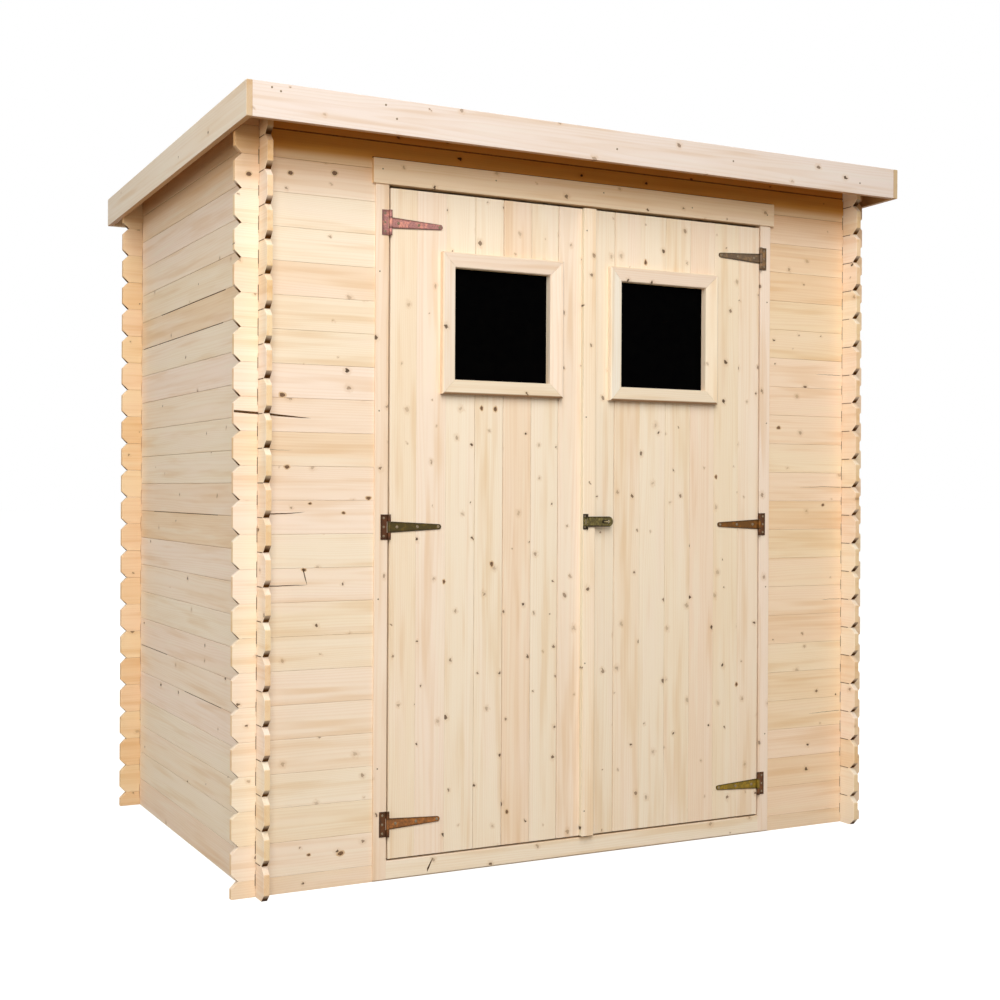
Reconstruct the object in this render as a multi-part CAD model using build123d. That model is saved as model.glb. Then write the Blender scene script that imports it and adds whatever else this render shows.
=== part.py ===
from build123d import *
import os

# Garden shed of crossed log boards with a low pent roof and a pair of outward doors.
# Millimetres. X runs along the front to the right, Y to the back, Z up from the ground.

# Walls
log_pitch = 88.0
log_thickness = 16.0
course_play = 0.4
wall_width = 1944.0
wall_depth = 1200.0
wall_height = 2016.0
log_end = 64.0
log_end_cut = 18.0
plate_height = 50.0
notch_play = 1.0
least_course_share = 0.3
notch_depth_share = 0.25

# Roof
roof_fall = 24.0
front_overhang = 138.0
back_overhang = 138.0
deck_thickness = 16.0
felt_thickness = 3.0
fascia_height = 90.0
fascia_thickness = 16.0
fascia_lip = 4.0
purlin_width = 34.0
purlin_height = 45.0
purlin_spacing = 400.0
purlin_count = 2

# Floor
bearer_width = 44.0
bearer_height = 28.0
bearer_inset = 62.0
bearer_count = 3
floor_thickness = 16.0
floor_clearance = 0.5

# Door frame
doorway_middle = 7.0
opening_width = 1238.0
opening_bottom = 52.0
header_height = 163.0
jamb_width = 38.0
jamb_lining = 12.0
jamb_proud = 6.0
jamb_foot = 4.0
head_height = 67.0
head_proud = 12.0
head_past_jamb = 9.0
threshold_thickness = 8.0

# Door leaves
leaf_thickness = 16.0
side_gap = 5.0
meeting_gap = 5.0
top_gap = 9.0
bottom_gap = 6.0
ledge_width = 88.0
ledge_thickness = 16.0
ledge_inset = 35.0
brace_width = 70.0
strip_width = 40.0
strip_thickness = 16.0
strip_clearance = 5.0

# Door windows
left_window_offset = 277.0
right_window_offset = 259.0
window_drop = 21.5
sight_width = 298.0
sight_height = 305.0
frame_face = 40.0
frame_thickness = 18.0
frame_bevel = 6.0
frame_edge = 3.0
pane_rebate = 12.0
pane_thickness = 4.0
pane_clearance = 0.3

# T hinges
hinge_from_bottom = 93.0
hinge_from_top = 93.0
middle_hinge_share = 0.494
hinge_plate_height = 67.0
hinge_plate_reach = 23.0
hinge_metal = 2.5
knuckle_radius = 4.5
knuckle_clearance = 1.0
knuckle_play = 0.3
strap_knuckle_height = 30.0
strap_length = 155.0
strap_tip_height = 14.0

# Hasp and staple
hasp_height_share = 0.501
hasp_plate_height = 44.0
hasp_plate_width = 12.0
hasp_metal = 2.0
hasp_knuckle_radius = 3.0
hasp_knuckle_height = 15.0
hasp_knuckle_clearance = 0.5
hasp_gap = 1.0
hasp_strap_height = 29.0
hasp_strap_length = 86.0
hasp_slot_length = 26.0
hasp_slot_height = 9.0
hasp_slot_middle = 62.0
staple_wire = 4.0
staple_span = 14.0
staple_rise = 13.0
staple_base_length = 40.0
staple_base_height = 20.0

# Places worked out from the sizes above
half_width = wall_width / 2
front_face = -wall_depth / 2
back_face = wall_depth / 2
front_inner = front_face + log_thickness
back_inner = back_face - log_thickness
side_inner = half_width - log_thickness
half_course = log_pitch / 2
notch_depth = log_pitch * notch_depth_share
least_course = log_pitch * least_course_share
roof_front = front_face - front_overhang
roof_back = back_face + back_overhang
roof_side = half_width + log_end + fascia_thickness
fascia_inner_side = roof_side - fascia_thickness
opening_half = opening_width / 2
opening_top = wall_height - header_height
log_stop = opening_half + jamb_lining + course_play
leaf_front = front_face - jamb_proud
leaf_back = leaf_front + leaf_thickness
pane_front = leaf_back - pane_thickness - pane_clearance
leaf_outer = opening_half - side_gap
leaf_inner = meeting_gap / 2
leaf_bottom = opening_bottom + bottom_gap
leaf_top = opening_top - top_gap
low_hinge = leaf_bottom + hinge_from_bottom
high_hinge = leaf_top - hinge_from_top
middle_hinge = low_hinge + (high_hinge - low_hinge) * middle_hinge_share
hinge_heights = (low_hinge, middle_hinge, high_hinge)
window_top = high_hinge - ledge_width / 2 - window_drop
window_middle = window_top - frame_face - sight_height / 2
hasp_middle = leaf_bottom + (leaf_top - leaf_bottom) * hasp_height_share
hinge_x = opening_half - side_gap / 2
hinge_y = leaf_front - knuckle_radius - knuckle_clearance
strip_front = leaf_front - strip_thickness
hasp_y = strip_front - hasp_knuckle_radius - hasp_knuckle_clearance
hasp_x = hasp_plate_width - strip_width / 2


def roof_z(y):
    """Height of the underside of the roof boards at a depth."""
    return wall_height - roof_fall * (y - front_face) / wall_depth


def box(x0, x1, y0, y1, z0, z1):
    """Box between two corners."""
    corner = Pos((x0 + x1) / 2, (y0 + y1) / 2, (z0 + z1) / 2)
    return corner * Box(abs(x1 - x0), abs(y1 - y0), abs(z1 - z0))


def along_y(points, y0, y1):
    """Outline in X and Z, carried from one depth to another."""
    face = Plane.XZ * make_face(Polyline(*points, close=True).edges())
    return Pos(0, y1, 0) * extrude(face, y1 - y0)


def along_x(points, x0, x1):
    """Outline in Y and Z, carried from one side to another."""
    face = Plane.YZ * make_face(Polyline(*points, close=True).edges())
    return Pos(x0, 0, 0) * extrude(face, x1 - x0)


def along_z(points, z0, z1):
    """Outline in X and Y, carried upwards."""
    face = Plane.XY * make_face(Polyline(*points, close=True).edges())
    return Pos(0, 0, z0) * extrude(face, z1 - z0)


def mirrored(shape):
    """The same piece on the other side of the middle."""
    return mirror(shape, about=Plane.YZ)


def course_levels(first, top):
    """Joint heights of a wall, with a thin last course left out."""
    levels = [0]
    level = first
    while level < top - least_course:
        levels.append(level)
        level += log_pitch
    return levels


def log_outline(start, end, bottom, course, top, crossings, cut_start, cut_end):
    """One log board seen from its face, notched above and below at each crossing wall.

    The course is the height at which a whole log of this row would start. A half log on
    the ground keeps its lower ends square.
    """
    low = bottom + course_play if bottom > 0 else bottom
    cut = min(log_end_cut, (min(top(start), top(end)) - low) / 2 - course_play)
    half_notch = log_thickness / 2 + notch_play
    notch_floor = course + course_play + notch_depth
    notch_roof = course + log_pitch - notch_depth
    lower = []
    upper = []
    for middle in crossings:
        left, right = middle - half_notch, middle + half_notch
        if notch_floor > low:
            lower += [(left, low), (left, notch_floor), (right, notch_floor), (right, low)]
        if top(middle) > notch_roof:
            upper += [(left, top(left)), (left, notch_roof), (right, notch_roof), (right, top(right))]
    on_ground = course < 0
    first = [(start + cut, low)] if cut_start and not on_ground else [(start, low)]
    far_low = [(end - cut, low), (end, low + cut)] if cut_end and not on_ground else [(end, low)]
    far_high = [(end, top(end) - cut), (end - cut, top(end - cut))] if cut_end else [(end, top(end))]
    near_high = [(start, top(start))]
    near_low = []
    if cut_start:
        near_high = [(start + cut, top(start + cut)), (start, top(start) - cut)]
        near_low = [] if on_ground else [(start, low + cut)]
    return first + lower + far_low + far_high + upper[::-1] + near_high + near_low


def level_top(height):
    """A log's level upper edge."""
    return lambda place: height


def course_start(bottom):
    """Height at which a whole log would start, below the ground for a half log."""
    return bottom if bottom > 0 else bottom - half_course


def long_wall(start, end, y0, y1, levels, top, crossings, cuts):
    """Log boards laid along X, from the first level to the top."""
    logs = []
    edges = levels + [top]
    for bottom, ceiling in zip(edges, edges[1:]):
        course = course_start(bottom)
        outline = log_outline(start, end, bottom, course, level_top(ceiling), crossings, *cuts)
        logs.append(along_y(outline, y0, y1))
    return logs


def side_wall():
    """Log boards laid along Y, the top one cut to the fall of the roof."""
    start, end = front_face - log_end, back_face + log_end
    crossings = [front_face + log_thickness / 2, back_face - log_thickness / 2]
    levels = course_levels(log_pitch, roof_z(back_face))
    tops = [level_top(level) for level in levels[1:]] + [roof_z]
    logs = []
    for bottom, top in zip(levels, tops):
        outline = log_outline(start, end, bottom, bottom, top, crossings, True, True)
        logs.append(along_x(outline, -half_width, -side_inner))
    return logs


def walls():
    """All four walls, with the front one split round the doorway."""
    side_crossing = half_width - log_thickness / 2
    reach = half_width + log_end
    back_top = roof_z(back_face)
    back_levels = course_levels(half_course, back_top)
    plate_top = roof_z(front_inner)
    plate_bottom = plate_top - plate_height
    front_levels = course_levels(half_course, plate_bottom)
    header_from = next(level for level in front_levels if level >= opening_top + jamb_lining)
    beside = [level for level in front_levels if 0 < level < header_from]
    over = [level for level in front_levels if level >= header_from]
    both = [-side_crossing, side_crossing]
    left_stop, right_stop = doorway_middle - log_stop, doorway_middle + log_stop
    front = (front_face, front_inner)
    left = long_wall(-reach, left_stop, *front, beside, header_from, both[:1], (True, False))
    right = long_wall(right_stop, reach, *front, beside, header_from, both[1:], (False, True))
    left_wall = side_wall()
    sill = long_wall(-reach, reach, *front, [0], half_course, both, (True, True))
    header = long_wall(-reach, reach, *front, over, plate_bottom, both, (True, True))
    past, inside = half_width + notch_play, side_inner - notch_play
    for x0, x1 in ((-reach, -past), (-inside, inside), (past, reach)):
        header.append(box(x0, x1, *front, plate_bottom + course_play, plate_top))
    back = long_wall(-reach, reach, back_inner, back_face, back_levels, back_top, both, (True, True))
    return {
        "front_wall_left": left,
        "front_wall_right": right,
        "front_wall_header": header,
        "front_sill_log": sill,
        "left_wall": left_wall,
        "right_wall": [mirrored(log) for log in left_wall],
        "back_wall": back,
    }, header_from


def sloped_slab(x0, x1, y0, y1, rise, depth):
    """Slab that follows the fall of the roof, a rise above the underside of its boards."""
    points = [
        (y0, roof_z(y0) + rise),
        (y1, roof_z(y1) + rise),
        (y1, roof_z(y1) + rise + depth),
        (y0, roof_z(y0) + rise + depth),
    ]
    return along_x(points, x0, x1)


def roof():
    """Roof boards, felt, the four fascias and the purlins."""
    front_inside = roof_front + fascia_thickness
    back_inside = roof_back - fascia_thickness
    cover = deck_thickness + felt_thickness
    fascia_rise = cover + fascia_lip - fascia_height
    side = sloped_slab(-roof_side, -fascia_inner_side, roof_front, roof_back, fascia_rise, fascia_height)
    first = -purlin_spacing * (purlin_count - 1) / 2
    purlins = []
    for index in range(purlin_count):
        middle = first + purlin_spacing * index
        y0, y1 = middle - purlin_width / 2, middle + purlin_width / 2
        purlins.append(sloped_slab(-side_inner, side_inner, y0, y1, -purlin_height, purlin_height))
    span = (-fascia_inner_side, fascia_inner_side)
    return {
        "roof_boards": [sloped_slab(*span, front_inside, back_inside, 0, deck_thickness)],
        "roof_felt": [sloped_slab(*span, front_inside, back_inside, deck_thickness, felt_thickness)],
        "front_fascia": [sloped_slab(*span, roof_front, front_inside, fascia_rise, fascia_height)],
        "back_fascia": [sloped_slab(*span, back_inside, roof_back, fascia_rise, fascia_height)],
        "left_fascia": [side],
        "right_fascia": [mirrored(side)],
        "roof_purlins": purlins,
    }


def floor():
    """Floor boards on bearers that lie on the ground."""
    reach = side_inner - floor_clearance
    near, far = front_inner + floor_clearance, back_inner - floor_clearance
    first = front_inner + bearer_inset + bearer_width / 2
    last = back_inner - bearer_inset - bearer_width / 2
    bearers = []
    for index in range(bearer_count):
        middle = first + (last - first) * index / (bearer_count - 1)
        y0, y1 = middle - bearer_width / 2, middle + bearer_width / 2
        bearers.append(box(-reach, reach, y0, y1, 0, bearer_height))
    boards = box(-reach, reach, near, far, bearer_height, bearer_height + floor_thickness)
    return {"floor_bearers": bearers, "floor_boards": [boards]}


def door_frame(header_from):
    """Jambs that grip the log ends, the head over them and the threshold, centred on X."""
    jamb_outer = opening_half + jamb_width
    groove = log_stop - course_play
    inner_face = front_inner + jamb_lining
    jamb = along_z(
        [
            (-opening_half, leaf_front),
            (-opening_half, inner_face),
            (-jamb_outer, inner_face),
            (-jamb_outer, front_inner),
            (-groove, front_inner),
            (-groove, front_face),
            (-jamb_outer, front_face),
            (-jamb_outer, leaf_front),
        ],
        jamb_foot,
        opening_top,
    )
    jamb -= box(-jamb_outer, -groove, front_face, front_inner, 0, half_course)
    jamb -= box(-jamb_outer, -opening_half, front_face, inner_face, 0, half_course)
    head_reach = jamb_outer + head_past_jamb
    head_top = opening_top + head_height
    head = box(-head_reach, head_reach, front_face - head_proud, front_face, opening_top, head_top)
    head += box(-groove, groove, front_face, front_inner, opening_top, header_from)
    head += box(-jamb_outer, jamb_outer, front_inner, inner_face, opening_top, head_top)
    tread = opening_bottom - threshold_thickness
    threshold = along_x(
        [
            (leaf_front, jamb_foot),
            (front_face, jamb_foot),
            (front_face, tread),
            (inner_face, tread),
            (inner_face, opening_bottom),
            (leaf_front, opening_bottom),
        ],
        -opening_half,
        opening_half,
    )
    return {
        "left_jamb": [jamb],
        "right_jamb": [mirrored(jamb)],
        "door_head": [head],
        "threshold": [threshold],
    }


def window_box(offset, width, height, y0, y1):
    """Block centred on a left leaf's window, an offset from the middle of the doorway."""
    x0, x1 = -offset - width / 2, -offset + width / 2
    z0, z1 = window_middle - height / 2, window_middle + height / 2
    return box(x0, x1, y0, y1, z0, z1)


def window_frame(offset):
    """Moulded frame on the outside of a leaf and a flat one inside it."""
    face = 2 * frame_face
    front = leaf_front - frame_thickness
    outside = window_box(offset, sight_width + face, sight_height + face, front, leaf_front)
    outside = chamfer(outside.faces().sort_by(Axis.Y)[0].edges(), frame_edge)
    outside -= window_box(offset, sight_width, sight_height, front, leaf_front)
    inner_edges = [
        edge
        for edge in outside.faces().sort_by(Axis.Y)[0].edges()
        if abs(edge.center().X + offset) <= sight_width / 2 + course_play
        and abs(edge.center().Z - window_middle) <= sight_height / 2 + course_play
    ]
    outside = chamfer(inner_edges, frame_bevel)
    back = leaf_back + frame_thickness
    inside = window_box(offset, sight_width + face, sight_height + face, leaf_back, back)
    inside -= window_box(offset, sight_width, sight_height, leaf_back, back)
    return [outside, inside]


def leaf_slab(offset):
    """Door leaf with its window cut through and a rebate behind it for the pane."""
    slab = box(-leaf_outer, -leaf_inner, leaf_front, leaf_back, leaf_bottom, leaf_top)
    slab -= window_box(offset, sight_width, sight_height, leaf_front, leaf_back)
    rebate = 2 * pane_rebate
    return slab - window_box(offset, sight_width + rebate, sight_height + rebate, pane_front, leaf_back)


def leaf_ledges():
    """Three ledges at the hinges and a brace that rises from the lowest one."""
    outer, inner = -leaf_outer + ledge_inset, -leaf_inner - ledge_inset
    back = leaf_back + ledge_thickness
    ledges = []
    for height in hinge_heights:
        z0, z1 = height - ledge_width / 2, height + ledge_width / 2
        ledges.append(box(outer, inner, leaf_back, back, z0, z1))
    low = hinge_heights[0] + ledge_width / 2 + course_play
    high = hinge_heights[1] - ledge_width / 2 - course_play
    outline = [(outer, low), (outer + brace_width, low), (inner, high), (inner - brace_width, high)]
    return ledges + [along_y(outline, leaf_back, back)]


def hinge(height):
    """Plate on the jamb and strap on the leaf, with knuckles in turn on one axis."""
    plate_half = hinge_plate_height / 2
    strap_half = strap_knuckle_height / 2
    room = knuckle_radius + knuckle_clearance
    metal = (leaf_front - hinge_metal, leaf_front)
    plate = box(-hinge_x - hinge_plate_reach, -hinge_x, *metal, height - plate_half, height + plate_half)
    mouth = strap_half + knuckle_play
    plate -= box(-hinge_x - room, -hinge_x, *metal, height - mouth, height + mouth)
    for z0, z1 in ((height - plate_half, height - mouth), (height + mouth, height + plate_half)):
        plate += Pos(-hinge_x, hinge_y, (z0 + z1) / 2) * Cylinder(knuckle_radius, z1 - z0)
    tip = strap_tip_height / 2
    tip_middle = -hinge_x + strap_length - tip
    outline = [
        (-hinge_x, height - strap_half),
        (tip_middle, height - tip),
        (tip_middle, height + tip),
        (-hinge_x, height + strap_half),
    ]
    strap = along_y(outline, *metal)
    strap += Pos(tip_middle, leaf_front - hinge_metal / 2, height) * Rot(X=90) * Cylinder(tip, hinge_metal)
    strap += Pos(-hinge_x, hinge_y, height) * Cylinder(knuckle_radius, strap_knuckle_height)
    return plate, strap


def meeting_strip():
    """Cover strip on the left leaf, rebated where it passes in front of the right one."""
    edge = strip_width / 2
    outline = [
        (-edge, leaf_front),
        (-leaf_inner, leaf_front),
        (-leaf_inner, leaf_front - strip_clearance),
        (edge, leaf_front - strip_clearance),
        (edge, strip_front),
        (-edge, strip_front),
    ]
    return along_z(outline, leaf_bottom, leaf_top)


def hasp():
    """Hinged hasp on the meeting strip: its plate and its slotted strap."""
    plate_half = hasp_plate_height / 2
    knuckle_half = hasp_knuckle_height / 2
    mouth = knuckle_half + knuckle_play
    low, high = hasp_middle - plate_half, hasp_middle + plate_half
    metal = (strip_front - hasp_metal, strip_front)
    plate = box(hasp_x - hasp_plate_width, hasp_x, *metal, low, high)
    room = hasp_knuckle_radius + hasp_gap
    plate -= box(hasp_x - room, hasp_x, *metal, hasp_middle - mouth, hasp_middle + mouth)
    for z0, z1 in ((low, hasp_middle - mouth), (hasp_middle + mouth, high)):
        plate += Pos(hasp_x, hasp_y, (z0 + z1) / 2) * Cylinder(hasp_knuckle_radius, z1 - z0)
    root = hasp_x + room
    end_radius = hasp_strap_height / 2
    end_middle = hasp_x + hasp_strap_length - end_radius
    sheet = (hasp_y - hasp_metal / 2, hasp_y + hasp_metal / 2)
    strap = box(root, end_middle, *sheet, hasp_middle - end_radius, hasp_middle + end_radius)
    strap += Pos(end_middle, hasp_y, hasp_middle) * Rot(X=90) * Cylinder(end_radius, hasp_metal)
    strap += box(hasp_x, root, *sheet, hasp_middle - knuckle_half, hasp_middle + knuckle_half)
    strap += Pos(hasp_x, hasp_y, hasp_middle) * Cylinder(hasp_knuckle_radius, hasp_knuckle_height)
    slot_middle = hasp_x + hasp_slot_middle
    slot = SlotOverall(hasp_slot_length, hasp_slot_height)
    through = 2 * hasp_knuckle_radius
    cutter = Plane.XZ * extrude(slot, through, both=True)
    strap -= Pos(slot_middle, hasp_y, hasp_middle) * cutter
    return plate, strap


def staple():
    """Base plate and wire loop on the right leaf, standing through the hasp's slot."""
    middle = hasp_x + hasp_slot_middle
    half_span = staple_span / 2
    crown = hasp_y - staple_rise
    seat = leaf_front - hasp_metal
    legs = Polyline((middle - half_span, seat), (middle - half_span, crown + half_span))
    arch = ThreePointArc(
        (middle - half_span, crown + half_span),
        (middle, crown),
        (middle + half_span, crown + half_span),
    )
    other = Line((middle + half_span, crown + half_span), (middle + half_span, seat))
    path = Pos(0, 0, hasp_middle) * Wire([legs.edge(), arch, other])
    start = Plane(origin=(middle - half_span, seat, hasp_middle), z_dir=(0, -1, 0))
    loop = sweep(start * Circle(staple_wire / 2), path)
    half_base = staple_base_length / 2
    low, high = hasp_middle - staple_base_height / 2, hasp_middle + staple_base_height / 2
    return loop + box(middle - half_base, middle + half_base, seat, leaf_front, low, high)


def leaf(offset):
    """What belongs to a left leaf, with the hinge plates on its jamb."""
    rebate = 2 * (pane_rebate - pane_clearance)
    pane_depth = (pane_front, pane_front + pane_thickness)
    hinges = [hinge(height) for height in hinge_heights]
    return {
        "door_leaf": [leaf_slab(offset)],
        "door_ledges": leaf_ledges(),
        "window_frame": window_frame(offset),
        "window_pane": [window_box(offset, sight_width + rebate, sight_height + rebate, *pane_depth)],
        "hinge_plates": [plate for plate, strap in hinges],
        "hinge_straps": [strap for plate, strap in hinges],
    }


def doors():
    """Both leaves with what they carry, centred on X."""
    hasp_plate, hasp_strap = hasp()
    nodes = {
        "hasp_plate": [hasp_plate],
        "hasp_strap": [hasp_strap],
        "hasp_staple": [staple()],
        "meeting_strip": [meeting_strip()],
    }
    for name, solids in leaf(left_window_offset).items():
        nodes["left_" + name] = solids
    for name, solids in leaf(right_window_offset).items():
        nodes["right_" + name] = [mirrored(solid) for solid in solids]
    return nodes


def main():
    """Write one file for each node."""
    nodes, header_from = walls()
    nodes.update(roof())
    nodes.update(floor())
    doorway = door_frame(header_from)
    doorway.update(doors())
    for name, pieces in doorway.items():
        nodes[name] = [Pos(doorway_middle, 0, 0) * piece for piece in pieces]
    os.makedirs("parts", exist_ok=True)
    for name, pieces in nodes.items():
        solids = [solid for piece in pieces for solid in piece.solids()]
        shape = solids[0] if len(solids) == 1 else Compound(children=solids)
        export_step(shape, os.path.join("parts", name + ".step"))


main()
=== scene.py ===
import math
import random

import bmesh
import bpy
from mathutils import Matrix, Vector


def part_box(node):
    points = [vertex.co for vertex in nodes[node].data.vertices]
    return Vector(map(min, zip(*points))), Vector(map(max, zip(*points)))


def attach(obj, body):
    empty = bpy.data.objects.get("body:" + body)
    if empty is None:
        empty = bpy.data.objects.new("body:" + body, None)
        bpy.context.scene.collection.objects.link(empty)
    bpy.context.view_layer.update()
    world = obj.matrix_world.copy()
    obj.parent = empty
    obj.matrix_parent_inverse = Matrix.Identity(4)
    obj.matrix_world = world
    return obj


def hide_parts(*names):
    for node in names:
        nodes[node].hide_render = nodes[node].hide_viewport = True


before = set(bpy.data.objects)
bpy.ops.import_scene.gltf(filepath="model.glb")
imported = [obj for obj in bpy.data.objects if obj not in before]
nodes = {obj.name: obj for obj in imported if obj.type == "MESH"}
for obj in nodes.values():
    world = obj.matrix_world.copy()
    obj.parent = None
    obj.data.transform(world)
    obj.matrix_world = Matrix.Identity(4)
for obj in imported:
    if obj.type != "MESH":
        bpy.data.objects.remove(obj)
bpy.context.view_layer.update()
dice = random.Random(88)

# Sizes of the shed, in metres
BOARD, COURSES = 0.088, 22
WALL_X, WALL_Y = 0.972, 0.600
LOG = 0.016
HEADER_LOG, HEADER_LOW = 0.074, 1.892
LOG_END_CUT = 0.018
LOG_TIP_X, LOG_TIP_Y = -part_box("front_wall_left")[0].x, -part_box("left_wall")[0].y
FRONT = -WALL_Y
leaf_from, leaf_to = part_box("left_door_leaf")
pane_from, pane_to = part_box("left_window_pane")
far_pane_from, far_pane_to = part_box("right_window_pane")
DOOR_X = (leaf_from.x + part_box("right_door_leaf")[1].x) / 2
LEAF_FRONT, LEAF_BACK = leaf_from.y, leaf_to.y
LEAF_EDGE, LEAF_MEET = DOOR_X - leaf_from.x, DOOR_X - leaf_to.x
LEAF_LOW, LEAF_HIGH = leaf_from.z, leaf_to.z
LEAF_BOARD, FIRST_JOINT = 0.0885, 0.094
WINDOW_X = {
    -1: DOOR_X - (pane_from.x + pane_to.x) / 2,
    1: (far_pane_from.x + far_pane_to.x) / 2 - DOOR_X,
}
WINDOW_Z = (pane_from.z + pane_to.z) / 2
HEAD_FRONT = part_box("door_head")[0].y
HEAD_MIDDLE = (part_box("door_head")[0].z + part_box("door_head")[1].z) / 2
STRIP_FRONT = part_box("meeting_strip")[0].y
SIGHT_W, SIGHT_H = 0.298, 0.305
FRAME_FACE, FRAME_DEEP, FRAME_SLOPE = 0.040, 0.018, 0.006
ROOF_TOP, ROOF_FALL = 2.016, 0.024
DECK, FELT = 0.016, 0.003
FASCIA_FRONT, FASCIA_BACK, FASCIA_LEFT, FASCIA_RIGHT = -0.738, 0.722, -1.052, 1.036
JAMB_MIDDLE = 0.640
PLATE_LOW = 1.966
# Painted shade under the roof: the height its brown fades over, and where the deep shade starts and is full
EAVE_SHADE_FADE, DEEP_SHADE_FROM, DEEP_SHADE_FULL = 0.16, 1.900, 1.928
HINGE_X = 0.6165
HINGE_HEIGHTS = (0.151, 0.9414, 1.751)
PLATE_REACH, PLATE_HALF = 0.023, 0.0335
STRAP_LENGTH, STRAP_HALF, STRAP_TAPER = 0.155, 0.015, 0.054
hasp_from, hasp_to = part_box("hasp_strap")
HASP_Z, HASP_HALF = (hasp_from.z + hasp_to.z) / 2, (hasp_to.z - hasp_from.z) / 2
HASP_METAL, HINGE_METAL, LEDGE = 0.002, 0.0025, 0.016
PLATE_SCREWS, STRAP_SCREWS = (-0.024, 0.0, 0.024), (0.024, 0.084, 0.146)
LEAF_EDGE_V = 0.0009
LEAF_V = {
    -1: (0.0017, 0.0009, 0.0014, 0.0009, 0.0003, 0.0003),
    1: (0.0017, 0.0004, 0.0007, 0.0006, 0.0007, 0.0004),
}
EDGE_ROUND, FRONT_ROUND, SHARP = 0.0016, 0.0008, 0.00001

# Colours, as linear values
CREAM = (0.90, 0.752, 0.550)
PALE = (0.92, 0.798, 0.625)
PINK = (0.93, 0.768, 0.628)
GOLD = (0.86, 0.657, 0.435)
LATE_WOOD = (0.84, 0.700, 0.520)
KNOT_HALO = (0.62, 0.400, 0.210)
KNOT_DARK = (0.060, 0.032, 0.014)
KNOT_RED = (0.260, 0.135, 0.060)
RING_PALE = (0.78, 0.560, 0.340)
END_GRAIN = (0.95, 0.840, 0.660)
# Dirt in the joints with painted shade on downward chamfers, and painted shade along window rails' lower
# edge
GRIME_AND_SHADE = (0.30, 0.195, 0.110)
# Painted shade under the roof, and the deeper painted shade right under the eave
EAVE_SHADE_BROWN = (0.80, 0.590, 0.360)
HEADER_SHADE_BROWN = (0.85, 0.600, 0.240)
# Painted shade on the lower chamfers of the log ends
NOTCH_SHADE = (0.16, 0.080, 0.020)
# Painted shade on the inner faces of the side fascias
SOFFIT_SHADE = (0.55, 0.340, 0.170)
FASCIA_TONE = (0.93, 0.96, 0.96)
FASCIA_END = (0.72, 0.610, 0.480)
# Painted shade on the undersides of the fascias
FASCIA_UNDER_SHADE = (0.60, 0.400, 0.240)
# Painted shade on the left face of the meeting strip, and the strip's tone
STRIP_SIDE_SHADE, STRIP_TONE = (0.84, 0.92, 0.94), (1.05, 1.045, 1.02)
# Painted shade on window-rail faces that look up, painted light on stile faces that look right
RAIL_UPWARD_SHADE, STILE_RIGHT_LIGHT = (0.86, 0.88, 0.82), (1.05, 1.12, 1.22)
# Darkest painted shade for metal rims and shadowed metal, and the colour of rust
RIM_SHADE, RUST = (0.018, 0.010, 0.004), (0.030, 0.015, 0.006)
STEEL_DARK, STEEL_PALE = (0.100, 0.070, 0.040), (0.330, 0.250, 0.150)
FELT_DARK, FELT_GREY = (0.020, 0.020, 0.021), (0.060, 0.061, 0.060)
FELT_PALE, FELT_WORN = (0.15, 0.15, 0.14), (0.085, 0.085, 0.080)
# Near-black of the panes is painted shade for the inside; the paler colour is dust
GLASS_INSIDE_SHADE, GLASS_DUST = (0.0006, 0.0006, 0.0007), (0.0013, 0.0012, 0.0011)
SPLIT_DARK, SPLIT_PALE = (0.045, 0.022, 0.009), (0.150, 0.080, 0.035)
# Dark plate joint, and the painted shadow line over the door head
SEAM_AND_SHADOW_DARK, SEAM_AND_SHADOW_PALE = (0.120, 0.040, 0.006), (0.300, 0.120, 0.024)
# The back wall's darker tone is painted shade
WARM_TONE, BACK_SHADE_TONE, COOL_TONE = (1.0, 0.94, 0.845), (0.93, 0.82, 0.66), (0.86, 0.89, 1.0)
# Deck and purlin tones are darkened as painted shade under the roof
DECK_SHADE_TONE, PURLIN_SHADE_TONE = (0.60, 0.34, 0.11), (0.76, 0.58, 0.38)
FLOOR_TONE, BEARER_TONE = (0.92, 0.90, 0.86), (0.80, 0.76, 0.66)

# Strength, scale and chance of marks in the wood and on the metal
LEAF_LIPS, LEAF_GAP_SHARE = 0.30, 0.30
KNOT_CHANCE, KNOT_SMALL, KNOT_LARGE = 0.72, 0.0017, 0.0054
KNOT_SCALE, RING_WIDTH = 12.0, 0.0046
# Strength of the painted shade at the rims of each kind of fitting
RIM_SHADE_STRENGTH = {"plate": 0.55, "strap": 0.75, "hasp": 0.93}
MOTTLE_SCALE = {"plate": 75.0, "strap": 75.0, "hasp": 170.0}
MOTTLE_GOLD = {"plate": (1.8, 1.7, 1.4), "strap": (1.8, 1.7, 1.4), "hasp": (2.7, 2.75, 2.6)}

# Large knots: place along X, height and radius
WALL_KNOTS = (
    (-0.739, 0.086, 0.0072), (-0.907, 1.283, 0.0068), (-0.765, 1.868, 0.0075), (-0.887, 1.856, 0.0062),
    (-0.893, 1.098, 0.0062), (-0.665, 1.018, 0.0055), (-0.845, 0.832, 0.0052), (-0.736, 0.979, 0.0042),
    (-0.829, 1.004, 0.0040), (-0.828, 0.092, 0.0042), (0.704, 1.238, 0.0056), (0.881, 1.000, 0.0050),
    (-0.999, 1.841, 0.0066),
)
LEFT_KNOTS = (
    (-0.289, 1.265, 0.0058), (-0.332, 1.266, 0.0052), (-0.298, 0.837, 0.0060), (-0.246, 0.148, 0.0052),
    (-0.444, 0.792, 0.0046),
)
RIGHT_KNOTS = ((0.206, 1.708, 0.0058), (0.463, 1.084, 0.0052), (0.543, 0.458, 0.0054))

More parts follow.
